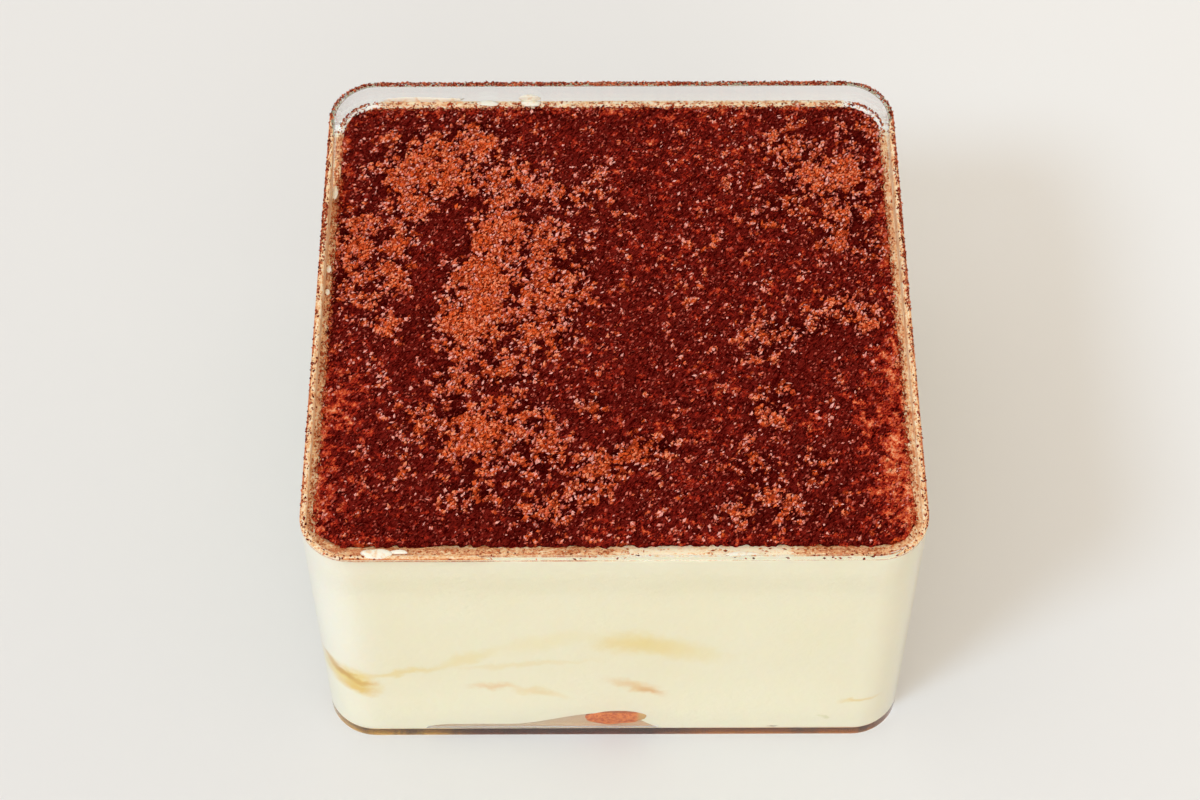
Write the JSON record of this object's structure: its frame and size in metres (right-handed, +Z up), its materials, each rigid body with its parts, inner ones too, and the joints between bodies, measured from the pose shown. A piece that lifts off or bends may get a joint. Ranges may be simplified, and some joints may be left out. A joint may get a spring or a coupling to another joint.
{
  "type": "tiramisu portion in a clear box",
  "caption": "Square clear tub of tiramisu: soaked sponge layers in mascarpone cream, dusted with cocoa, without its lid.",
  "frame": {"origin": "middle of the box's base, on the surface it stands on", "axes": "+Z up, -Y towards the front wall, where the cream is highest, +X to the right seen from the front"},
  "size_m": [0.105, 0.105, 0.062],
  "materials": {
    "clear_plastic": "clear and glossy, dusty at the rim",
    "cream": "smooth whipped mascarpone cream",
    "sponge": "coffee-soaked sponge",
    "cocoa": "damp cocoa powder with dry dust on it"
  },
  "bodies": {
    "root": {"box": "clear_plastic", "cream": "cream", "sponge_lower": "sponge", "sponge_upper": "sponge", "cocoa": "cocoa"}
  },
  "joints": []
}
